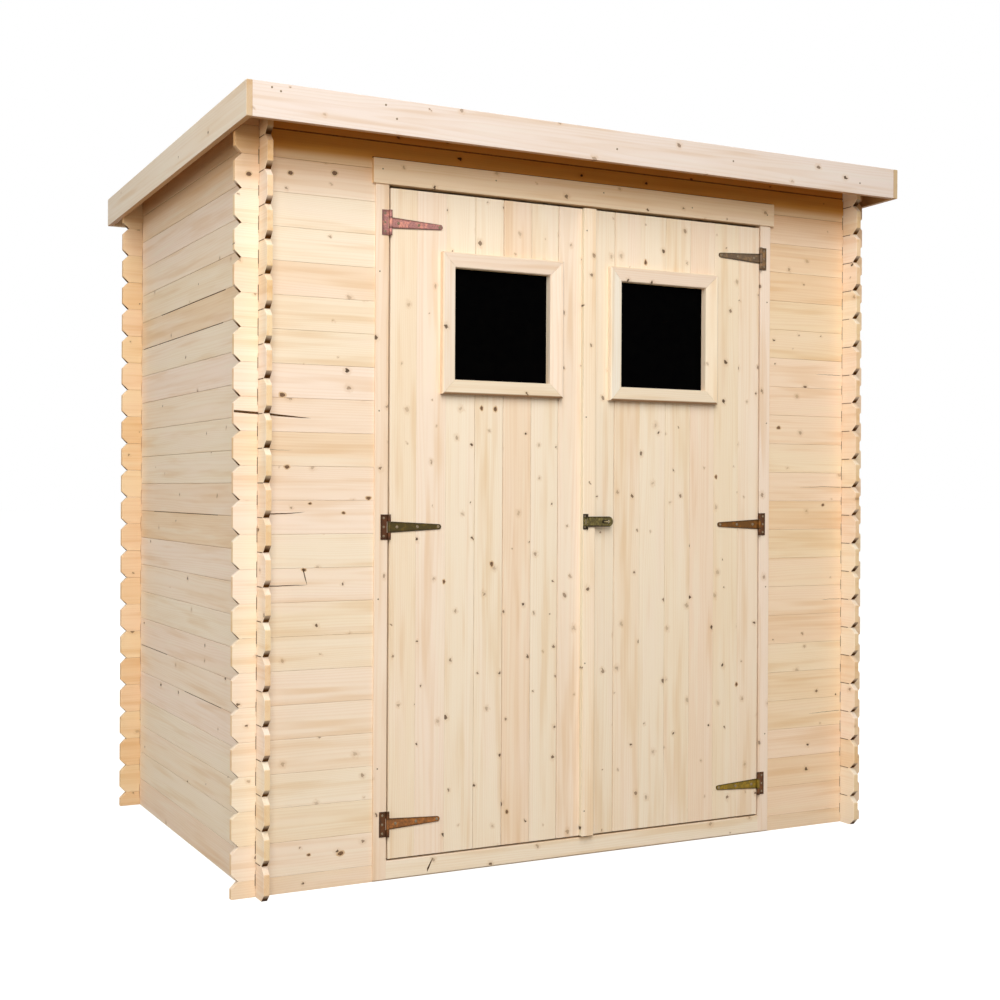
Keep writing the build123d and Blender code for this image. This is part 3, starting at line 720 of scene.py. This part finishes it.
def add_window_frame(side):
    """Mitred frames on both sides of one leaf."""
    name = "left" if side < 0 else "right"
    centre = DOOR_X + side * WINDOW_X[side]
    low_edge = WINDOW_Z - SIGHT_H / 2 - FRAME_FACE
    # Painted shade on rail faces that look up and along the bottom rail's lower edge, painted light on
    # stile faces that look right
    upward, rightward_light = ("Z", 0.05, 0.12, RAIL_UPWARD_SHADE), ("X", 0.05, 0.12, STILE_RIGHT_LIGHT)
    front = LEAF_FRONT - FRAME_DEEP
    level = spruce(
        name + "_frame_rails", "XZY", front, 0.2, WINDOW_Z, 50 + side,
        knots=0.4, under=low_edge, facets=(upward,))
    upright = spruce(
        name + "_frame_stiles", "ZXY", front, 0.2, centre, 54 + side, knots=0.4, facets=(rightward_light,))
    solid = Solid()
    moulded = [
        (0.0, LEAF_FRONT), (0.0, front + FRAME_SLOPE + 0.002), (0.002, front + FRAME_SLOPE),
        (FRAME_FACE - 0.003, front), (FRAME_FACE, front + 0.002), (FRAME_FACE, LEAF_FRONT),
    ]
    back = LEAF_BACK + FRAME_DEEP
    flat = [
        (0.0, LEAF_BACK), (0.0, back - 0.001), (0.001, back), (FRAME_FACE - 0.001, back),
        (FRAME_FACE, back - 0.001), (FRAME_FACE, LEAF_BACK),
    ]
    mitre_gap = 0.0003
    for outline in (moulded, flat):
        for end in (-1, 1):
            def rail(a, b, t, end=end):
                return (centre + t * (SIGHT_W / 2 + a - mitre_gap), b, WINDOW_Z + end * (SIGHT_H / 2 + a))

            def stile(a, b, t, end=end):
                return (centre + end * (SIGHT_W / 2 + a), b, WINDOW_Z + t * (SIGHT_H / 2 + a - mitre_gap))

            solid.prism(outline, rail, -1, 1, 0)
            solid.prism(outline, stile, -1, 1, 1)
    woods = [level, upright]
    solid.piece(name + "_window_mitres", name + "_door", "trim_board", woods, [name + "_window_frame"])


def roof_level(y):
    """Underside of the roof boards at a depth into the shed."""
    return ROOF_TOP - ROOF_FALL * (y + WALL_Y) / (2 * WALL_Y)


def add_roof():
    """Roof boards that run from side to side, their felt and the purlins under them."""
    low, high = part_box("roof_boards")
    # The deck's dark brown tone and low sheen are painted shade under the roof
    wood = spruce("roof_board_wood", "XYZ", ROOF_TOP, BOARD, low.y, 61, DECK_SHADE_TONE, shine=0.05)
    solid = Solid()
    count = math.ceil((high.y - low.y) / BOARD)

    def place(a, b, t):
        return (t, a, roof_level(a) + b)

    for k in range(count):
        start, end = low.y + k * BOARD, min(low.y + (k + 1) * BOARD, high.y)
        solid.prism(board_outline(start, end, 0.0, DECK, 0.0025, 0.0025), place, low.x, high.x)
    solid.piece("roof_deck_boards", "shed", "rough_board", [wood], ["roof_boards"])
    add_felt()
    # Purlins toned brown as painted shade under the roof
    finish_node("roof_purlins", spruce("purlin_wood", "XYZ", 1.97, 0.4, 0.2, 63, PURLIN_SHADE_TONE))


def add_felt():
    """Two strips of felt, the front one over the back one's edge, each a slightly uneven sheet."""
    low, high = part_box("roof_felt")
    felt = Solid()
    lap, swelling = 0.08, 0.0004
    middle = (low.y + high.y) / 2
    steps, rows = 60, 24
    for start, end, lift in ((middle - lap, high.y, 0.0), (low.y, middle, FELT * 0.4)):
        top, under = [], []
        for i in range(steps + 1):
            for j in range(rows + 1):
                x = low.x + (high.x - low.x) * i / steps
                y = start + (end - start) * j / rows
                inside = 0 < i < steps and 0 < j < rows
                swell = dice.uniform(-swelling, swelling) if inside else 0.0
                z = roof_level(y) + DECK + lift
                top.append((x, y, z + FELT * 0.6 + swell))
                under.append((x, y, z))
        faces = []
        span = rows + 1
        total = len(top)
        for i in range(steps):
            for j in range(rows):
                a = i * span + j
                faces.append((a, a + span, a + span + 1, a + 1))
                faces.append((total + a, total + a + 1, total + a + span + 1, total + a + span))
        rim = [i * span for i in range(steps + 1)] + [steps * span + j for j in range(1, span)]
        rim += [i * span + rows for i in range(steps - 1, -1, -1)] + [j for j in range(rows - 1, 0, -1)]
        for a, b in zip(rim, rim[1:] + rim[:1]):
            faces.append((a, b, total + b, total + a))
        felt.add(top + under, faces)
    felt.piece("roof_felt_strips", "shed", "roof_felt", [felt_sheet("grit_felt")], ["roof_felt"])


def add_floor():
    """Floor boards laid across the bearers."""
    low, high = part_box("floor_boards")
    wood = spruce("floor_board_wood", "YXZ", high.z, BOARD, low.x, 71, FLOOR_TONE)
    solid = Solid()
    count = math.ceil((high.x - low.x) / BOARD)
    for k in range(count):
        start, end = low.x + k * BOARD, min(low.x + (k + 1) * BOARD, high.x)
        outline = board_outline(start, end, low.z, high.z, 0.0012, 0.0012)
        solid.prism(outline, lambda a, b, t: (a, t, b), low.y, high.y)
    solid.piece("floor_planks", "shed", "rough_board", [wood], ["floor_boards"])
    finish_node("floor_bearers", spruce("bearer_wood", "XYZ", 0.0, 0.5, -0.75, 73, BEARER_TONE))


def round_head(solid, centre, rings, outward):
    """Closed head on a face that looks along Y, from rings of radii that rise step by step.

    Each ring is a rise and the radii and angles of its points.
    """
    x, y, z = centre
    points = []
    for rise, spots in rings:
        for reach, angle in spots:
            points.append((x + reach * math.cos(angle), y + outward * rise, z + reach * math.sin(angle)))
    sides = len(rings[0][1])
    last = len(rings) - 1
    faces = []
    for ring in range(last):
        for k in range(sides):
            a, b = ring * sides + k, ring * sides + (k + 1) % sides
            faces.append((a, b, b + sides, a + sides))
    faces.append(tuple(range(last * sides, (last + 1) * sides)))
    faces.append(tuple(range(sides - 1, -1, -1)))
    solid.add(points, faces)


def screw_head(solid, centre, radius, rise, turn, outward=-1):
    """Low dome with a cross cut into it."""
    sides = 16
    angles = [2 * math.pi * k / sides + turn for k in range(sides)]
    dome = ((1.0, 0.0), (0.93, 0.45), (0.70, 0.85), (0.52, 1.0))
    rings = [(rise * up, [(radius * share, angle) for angle in angles]) for share, up in dome]
    cross = [(radius * (0.46 if k % 4 == 0 else 0.16), angle) for k, angle in enumerate(angles)]
    round_head(solid, centre, rings + [(rise * 0.35, cross)], outward)


def nail_head(solid, centre, radius, rise, outward=-1):
    """Small flat nail head, slightly proud."""
    sides = 10
    angles = [2 * math.pi * k / sides for k in range(sides)]
    flat = ((1.0, 0.0), (1.0, 0.6), (0.75, 1.0))
    rings = [(rise * up, [(radius * share, angle) for angle in angles]) for share, up in flat]
    round_head(solid, centre, rings, outward)


def add_fixings():
    """Screws in the hinges, nails in the boards and trim."""
    metal = steel("dull_steel")
    shed, left, right = Solid(), Solid(), Solid()
    plate_front = LEAF_FRONT - HINGE_METAL
    for side, leaf in ((-1, left), (1, right)):
        for height in HINGE_HEIGHTS:
            for lift in PLATE_SCREWS:
                centre = (DOOR_X + side * (HINGE_X + 0.0145), plate_front, height + lift)
                screw_head(shed, centre, 0.0034, 0.0010, dice.uniform(0, 1.5))
            for step in STRAP_SCREWS:
                centre = (DOOR_X + side * (HINGE_X - step), plate_front, height)
                screw_head(leaf, centre, 0.0042, 0.0014, dice.uniform(0, 1.5))
            for k in range(6):
                x = FIRST_JOINT + LEAF_BOARD * (k - 0.5)
                for lift in (-0.024, 0.024):
                    x += dice.uniform(-0.004, 0.004)
                    centre = (DOOR_X + side * x, LEAF_BACK + LEDGE, height + lift)
                    screw_head(leaf, centre, 0.0035, 0.0009, dice.uniform(0, 1.5), 1)
    for lift in (-0.0155, 0.0155):
        centre = (DOOR_X - 0.0145, STRIP_FRONT - HASP_METAL, HASP_Z + lift)
        screw_head(left, centre, 0.0026, 0.0008, dice.uniform(0, 1.5))
    for z in (0.13, 0.55, 1.25, 1.78):
        nail_head(left, (DOOR_X - 0.0115, STRIP_FRONT, z), 0.0021, 0.0003)
    for x, z in FASCIA_NAILS:
        nail_head(shed, (x, FASCIA_FRONT, z), 0.0028, 0.0004)
    for x in (-0.640, -0.30, 0.05, 0.36, 0.640):
        nail_head(shed, (DOOR_X + x, HEAD_FRONT, HEAD_MIDDLE + dice.uniform(-0.01, 0.01)), 0.0022, 0.0003)
    for side in (-1, 1):
        for z in (0.30, 0.75, 1.25, 1.62):
            nail_head(shed, (DOOR_X + side * 0.645, LEAF_FRONT, z), 0.0022, 0.0003)
    low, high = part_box("back_fascia")
    for x in (-0.95, -0.48, 0.02, 0.47, 0.95):
        for share in (0.28, 0.72):
            z = low.z + (high.z - low.z) * share + dice.uniform(-0.004, 0.004)
            nail_head(shed, (x + dice.uniform(-0.006, 0.006), high.y, z), 0.0022, 0.0003, 1)
    shed.piece("shed_fixings", "shed", "hinge_metal", [metal])
    left.piece("left_door_fixings", "left_door", "hinge_metal", [metal])
    right.piece("right_door_fixings", "right_door", "hinge_metal", [metal])


def add_crack(solid, path, width, face, proud=0.0002):
    """Thin dark split along a path on a front face, widest at its start."""
    count = len(path)
    upper, lower = [], []
    for k, (x, z) in enumerate(path):
        half = width / 2 * (1.0 - (k / (count - 1)) ** 3)
        upper.append((x, face - proud, z + half + 0.0001))
        lower.append((x, face - proud, z - half - 0.0001))
    inner_upper = [(x, face + 0.001, z) for x, y, z in upper]
    inner_lower = [(x, face + 0.001, z) for x, y, z in lower]
    faces = []
    n = count
    for k in range(n - 1):
        faces.append((k, k + 1, n + k + 1, n + k))
        faces.append((2 * n + k, 3 * n + k, 3 * n + k + 1, 2 * n + k + 1))
        faces.append((k, 2 * n + k, 2 * n + k + 1, k + 1))
        faces.append((n + k, n + k + 1, 3 * n + k + 1, 3 * n + k))
    faces.append((0, n, 3 * n, 2 * n))
    faces.append((n - 1, 3 * n - 1, 4 * n - 1, 2 * n - 1))
    solid.add(upper + lower + inner_upper + inner_lower, faces)


def wavering(x0, z0, x1, z1, sway=0.0012, steps=14):
    """Path from one place to another that follows uneven grain."""
    path = []
    drift = 0.0
    for k in range(steps + 1):
        share = k / steps
        drift += dice.uniform(-sway, sway) * 0.5
        path.append((x0 + (x1 - x0) * share, z0 + (z1 - z0) * share + drift * math.sin(math.pi * share)))
    return path


def add_corner_gaps(solid):
    """Dark gaps at the front corners, upright beside the notches and level between side logs."""
    inner = WALL_X - LOG
    for k in range(COURSES):
        notch, joint = BOARD * (k + 0.5), BOARD * (k + 1)
        low, high = notch - dice.uniform(0.010, 0.024), notch + dice.uniform(0.010, 0.024)
        for x, half in ((-WALL_X - 0.0008, 0.0009), (inner - 0.0008, 0.0008)):
            solid.block((x - half, FRONT - 0.0002, low), (x + half, FRONT + 0.001, high))
        start = FRONT - dice.uniform(0.030, 0.044)
        for face in (-WALL_X, inner):
            near = (face - 0.0003, start, joint - 0.0010)
            solid.block(near, (face + 0.0010, FRONT - 0.0005, joint + 0.0010))


def add_seams(solid):
    """Dark seams at the wall plate and where logs of the left wall stand apart, and a painted shadow line
    over the door head.
    """
    reach = WALL_X - LOG - 0.001
    solid.block((-reach, FRONT - 0.0002, PLATE_LOW - 0.0020), (reach, FRONT + 0.001, PLATE_LOW + 0.0016), 1)
    low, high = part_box("door_head")
    # Painted shadow line along the top of the door head
    solid.block((low.x, FRONT - 0.0002, high.z), (high.x, FRONT + 0.001, high.z + 0.0040), 1)
    for z, start, end, half in LEFT_SEAMS:
        solid.block((-WALL_X - 0.0002, start, z - half), (-WALL_X + 0.001, end, z + half))


def add_splits():
    """Drying splits in the front logs and the threshold, and gaps where the logs cross."""
    solid = Solid()
    add_corner_gaps(solid)
    add_seams(solid)
    for x0, z0, x1, z1, width in LOG_CRACKS:
        add_crack(solid, wavering(x0, z0, x1, z1), width, FRONT)
    for k, length in RIGHT_CRACKS:
        z = BOARD * (k + 1)
        path = wavering(RIGHT_CRACK_X, z, RIGHT_CRACK_X - length, z + dice.uniform(-0.004, 0.004))
        add_crack(solid, path, 0.0009, FRONT)
    add_crack(solid, wavering(*SPIKE_KNOT, 0.0008), 0.0095, LEAF_FRONT)
    inside = shadow_line("split_inside", SPLIT_DARK, SPLIT_PALE)
    # Material of the plate joint and of the painted shadow line over the door head
    seam_and_shadow = shadow_line("plate_seam_and_head_shadow", SEAM_AND_SHADOW_DARK, SEAM_AND_SHADOW_PALE)
    solid.piece("drying_splits", "shed", "log_board", [inside, seam_and_shadow])


def knot_wood(name):
    """Dark knot with a torn middle."""
    s = Shader(name)
    where = s.add("ShaderNodeTexCoord").outputs["Object"]
    torn = s.noise(where, 420.0, 3.0, 0.6)
    return s.surface(Base_Color=s.ramp(torn, ((0.32, KNOT_DARK), (0.70, KNOT_RED))), Roughness=0.7)


def knot_ring(name):
    """Brown wood that closes round a knot."""
    s = Shader(name)
    where = s.add("ShaderNodeTexCoord").outputs["Object"]
    fibre = s.noise(where, 260.0, 3.0, 0.6)
    return s.surface(Base_Color=s.ramp(fibre, ((0.30, KNOT_HALO), (0.62, RING_PALE))), Roughness=0.6)


def knot(solid, x, z, radius, face, upright):
    """Uneven round knot with its ring, a hair proud of a front face and longer along the grain."""
    sides = 16
    shape = [dice.uniform(0.72, 1.10) for k in range(sides)]
    for share, proud, kind in ((1.55, 0.00010, 1), (1.0, 0.00020, 0)):
        outline = []
        for k in range(sides):
            angle = 2 * math.pi * k / sides
            reach = radius * share * (shape[k] + shape[k - 1]) / 2
            stretch = (0.85, 1.2) if upright else (1.2, 0.85)
            outline.append((reach * math.cos(angle) * stretch[0], reach * math.sin(angle) * stretch[1]))
        solid.prism(outline, lambda a, b, t: (x + a, t, z + b), face - proud, face + 0.0005, kind)


def add_knots():
    """The largest knots of the front, each where it shows."""
    materials = [knot_wood("large_knots"), knot_ring("knot_rings")]
    walls, left, right = Solid(), Solid(), Solid()
    for x, z, radius in WALL_KNOTS:
        knot(walls, x, z, radius, FRONT, False)
    for x, z, radius in LEFT_KNOTS:
        knot(left, x, z, radius, LEAF_FRONT, True)
    for x, z, radius in RIGHT_KNOTS:
        knot(right, x, z, radius, LEAF_FRONT, True)
    walls.piece("wall_knots", "shed", "log_board", materials)
    left.piece("left_leaf_knots", "left_door", "door_board", materials)
    right.piece("right_leaf_knots", "right_door", "door_board", materials)


def finish_metal():
    """Hinges, hasp and staple, each hinge with the colour its plating has turned to."""
    olive, dark_olive, gold = (0.200, 0.130, 0.012), (0.068, 0.048, 0.010), (0.150, 0.060, 0.010)
    rust, brown, copper = (0.100, 0.035, 0.012), (0.110, 0.040, 0.012), (0.240, 0.095, 0.028)
    pink, grey, grey_brown = (0.420, 0.195, 0.175), (0.160, 0.105, 0.062), (0.200, 0.120, 0.060)
    tints = {
        "left_hinge_plates": ("plate", (brown, rust, pink)),
        "left_hinge_straps": ("strap", (copper, dark_olive, pink)),
        "right_hinge_plates": ("plate", (brown, brown, grey_brown)),
        "right_hinge_straps": ("strap", (olive, gold, grey)),
    }
    for name, (shape, tint) in tints.items():
        finish_node(name, zinc(name + "_steel", shape, tint), 0.0005)
    hasp_tint, loop_tint = (0.105, 0.082, 0.026), (0.260, 0.210, 0.110)
    hasp_metal = zinc("hasp_steel", "hasp", (hasp_tint, hasp_tint, hasp_tint))
    for name in ("hasp_plate", "hasp_strap"):
        finish_node(name, hasp_metal, 0.0003)
    loop_metal = zinc("staple_steel", "hasp", (loop_tint, loop_tint, loop_tint), hasp_from.y)
    finish_node("hasp_staple", loop_metal, 0.0003)


def finish_doors():
    """Ledges and panes."""
    finish_node("left_door_ledges", spruce("left_ledge_wood", "XZY", -0.58, 0.4, 0.0, 81))
    finish_node("right_door_ledges", spruce("right_ledge_wood", "XZY", -0.58, 0.4, 0.0, 82))
    glass = shade_black_glass("shade_black_pane")
    finish_node("left_window_pane", glass, 0.0)
    finish_node("right_window_pane", glass, 0.0)


def add_softbox(name, power, size, distance, azimuth, elevation):
    """Large soft light that looks at the shed."""
    lamp = bpy.data.lights.new(name, "AREA")
    lamp.energy = power
    lamp.shape = "RECTANGLE"
    lamp.size, lamp.size_y = size
    lamp.color = LIGHT_COLOUR
    softbox = bpy.data.objects.new(name, lamp)
    softbox.visible_camera = False
    bpy.context.scene.collection.objects.link(softbox)
    turn, rise = math.radians(azimuth), math.radians(elevation)
    level = math.cos(rise)
    towards = Vector((level * math.sin(turn), -level * math.cos(turn), math.sin(rise)))
    softbox.location = Vector(LIGHT_AIM) + distance * towards
    softbox.rotation_euler = towards.to_track_quat("Z", "Y").to_euler()


def seen_directly(s):
    """One for rays from the camera, from a reflection or through glass, as a shader value."""
    path = s.add("ShaderNodeLightPath")
    seen = s.math("MAXIMUM", path.outputs["Is Camera Ray"], path.outputs["Is Glossy Ray"])
    return s.math("MAXIMUM", seen, path.outputs["Is Transmission Ray"])


def add_ground():
    """Pale floor that keeps the shadow."""
    mesh = bpy.data.meshes.new("studio_floor")
    wide = 60.0
    corners = [(-wide, -wide, 0), (wide, -wide, 0), (wide, wide, 0), (-wide, wide, 0)]
    mesh.from_pydata(corners, [], [(0, 1, 2, 3)])
    ground = bpy.data.objects.new("studio_floor", mesh)
    bpy.context.scene.collection.objects.link(ground)
    s = Shader("studio_floor")
    base = s.add("ShaderNodeBsdfDiffuse")
    s.feed(base.inputs["Color"], FLOOR_COLOUR)
    glow = s.add("ShaderNodeEmission")
    s.feed(glow.inputs["Strength"], s.math("MULTIPLY", seen_directly(s), FLOOR_GLOW))
    both = s.add("ShaderNodeAddShader")
    s.feed(both.inputs[0], base.outputs[0])
    s.feed(both.inputs[1], glow.outputs[0])
    out = s.add("ShaderNodeOutputMaterial")
    s.feed(out.inputs[0], both.outputs[0])
    mesh.materials.append(s.material)


def add_surroundings():
    """White surroundings that light the shed softly, and three softboxes."""
    world = bpy.data.worlds.new("studio")
    bpy.context.scene.world = world
    s = Shader("studio", world)
    sky = s.add("ShaderNodeBackground")
    s.feed(sky.inputs["Color"], (1.0, 1.0, 1.0))
    s.feed(sky.inputs["Strength"], s.span(seen_directly(s), 0.0, 1.0, SKY_STRENGTH, 1.0, "LINEAR"))
    out = s.add("ShaderNodeOutputWorld")
    s.feed(out.inputs[0], sky.outputs[0])
    add_softbox("key_light", KEY_POWER, KEY_SIZE, KEY_DISTANCE, KEY_AZIMUTH, KEY_ELEVATION)
    add_softbox("fill_light", FILL_POWER, FILL_SIZE, FILL_DISTANCE, FILL_AZIMUTH, FILL_ELEVATION)
    add_softbox("back_light", BACK_POWER, BACK_SIZE, BACK_DISTANCE, BACK_AZIMUTH, BACK_ELEVATION)


def add_camera():
    """Camera at the photo's viewing angle."""
    yaw, roll = math.radians(CAMERA_YAW), math.radians(CAMERA_ROLL)
    data = bpy.data.cameras.new("photo_camera")
    data.sensor_width = SENSOR
    data.lens = SENSOR * FOCAL / PICTURE
    data.shift_x = (PICTURE / 2 - CENTRE_X) / PICTURE
    data.shift_y = (CENTRE_Y - PICTURE / 2) / PICTURE
    data.clip_end = 200.0
    camera = bpy.data.objects.new("photo_camera", data)
    bpy.context.scene.collection.objects.link(camera)
    ahead = Vector((math.sin(yaw), math.cos(yaw), 0.0))
    beside = Vector((math.cos(yaw), -math.sin(yaw), 0.0))
    upward = Vector((0.0, 0.0, 1.0))
    right = math.cos(roll) * beside + math.sin(roll) * upward
    up = math.cos(roll) * upward - math.sin(roll) * beside
    turn = Matrix((right, up, -ahead)).transposed().to_4x4()
    camera.matrix_world = Matrix.Translation(CAMERA_PLACE) @ turn
    bpy.context.scene.camera = camera
    bpy.context.scene.view_settings.view_transform = "Standard"


finish_walls()
add_tongues()
finish_trim()
for half in (-1, 1):
    add_leaf(half)
    add_window_frame(half)
add_roof()
add_floor()
finish_doors()
finish_metal()
add_fixings()
add_splits()
add_knots()
add_ground()
add_surroundings()
add_camera()
